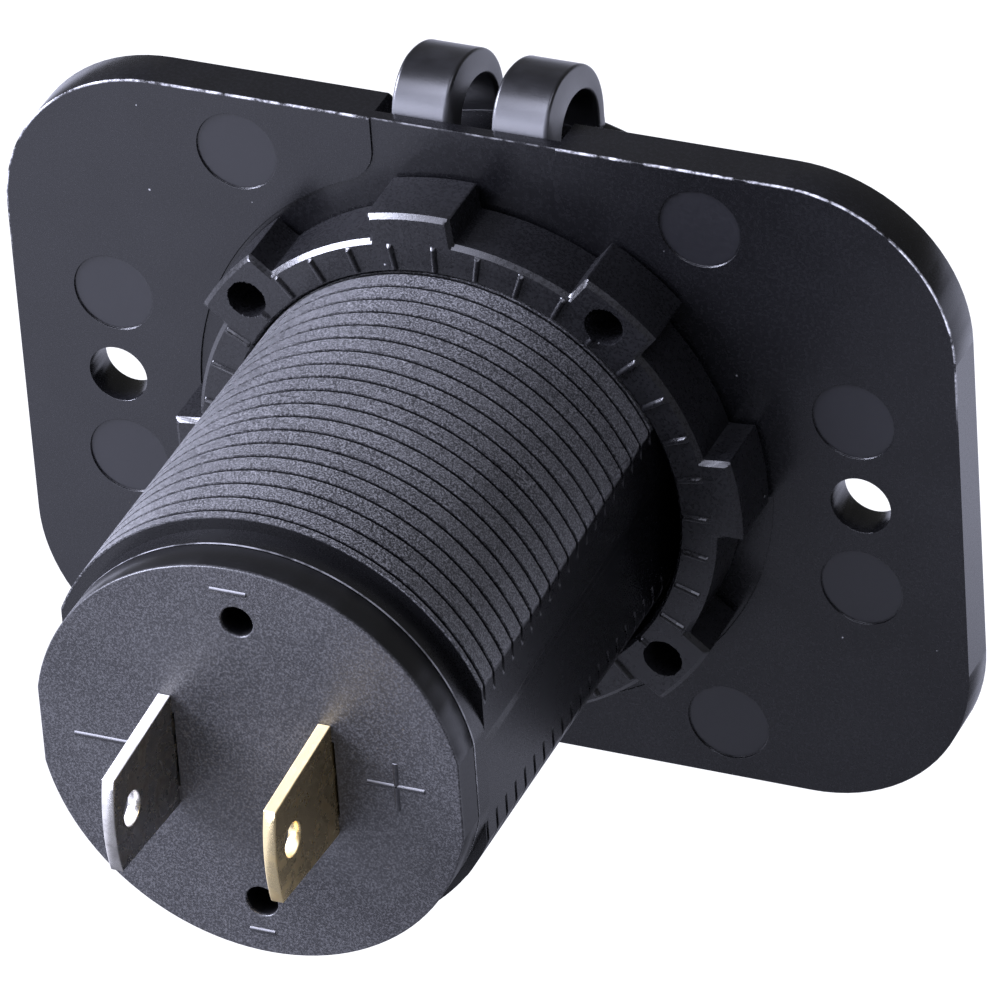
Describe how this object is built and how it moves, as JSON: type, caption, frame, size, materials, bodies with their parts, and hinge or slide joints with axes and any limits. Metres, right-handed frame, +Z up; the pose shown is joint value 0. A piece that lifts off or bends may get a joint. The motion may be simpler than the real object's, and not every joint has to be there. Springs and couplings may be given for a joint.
{
  "type": "dual usb socket",
  "caption": "Panel-mount USB power socket: threaded barrel through a rounded plate, lugged ring nut, flat rear terminals and a strap-hinged soft dust cap over the ports.",
  "frame": {"origin": "centre of the mounting plate's back face, midway between its two screw holes", "axes": "+Z up towards the dust cap's straps, +Y back along the threaded barrel to the terminals, +X to the right seen from the front"},
  "size_m": [0.061, 0.0539, 0.0454],
  "materials": {
    "black_plastic": "moulded, fine grain",
    "nut_plastic": "moulded, satin",
    "soft_cap": "satin soft plastic",
    "face_plastic": "moulded, fine grain",
    "shell_metal": "plated sheet",
    "tongue_plastic": "moulded",
    "contact_metal": "gold plated",
    "board": "solder mask",
    "can_metal": "drawn can",
    "coil_core": "ferrite",
    "chip_plastic": "moulded package",
    "tin_tab": "tin plated",
    "brass_tab": "stamped",
    "lead_black": "insulation",
    "lead_red": "insulation"
  },
  "bodies": {
    "socket": {"mounting_plate": "black_plastic", "ring_nut": "nut_plastic", "socket_body": "black_plastic", "rear_cap": "black_plastic", "front_insert": "face_plastic", "usb_shell_upper": "shell_metal", "usb_shell_lower": "shell_metal", "usb_tongue_upper": "tongue_plastic", "usb_tongue_lower": "tongue_plastic", "usb_contacts_upper": "contact_metal", "usb_contacts_lower": "contact_metal", "port_board": "board", "input_capacitor": "can_metal", "output_capacitor": "can_metal", "inductor": "coil_core", "converter_chip": "chip_plastic", "terminal_negative": "tin_tab", "terminal_positive": "brass_tab", "lead_negative": "lead_black", "lead_positive": "lead_red", "cap_ring": "soft_cap", "cap_strap_left": "soft_cap", "cap_strap_right": "soft_cap"},
    "lid": {"cap_lid": "soft_cap"}
  },
  "joints": [
    {"name": "lid_hinge", "type": "hinge", "parent": "socket", "child": "lid", "pos_m": [0, -0.00545, 0.0225], "axis": [-1, 0, 0], "range_deg": [0, 110], "stiffness_Nm_per_rad": 0.0008, "deforming": ["cap_strap_left", "cap_strap_right"]}
  ]
}
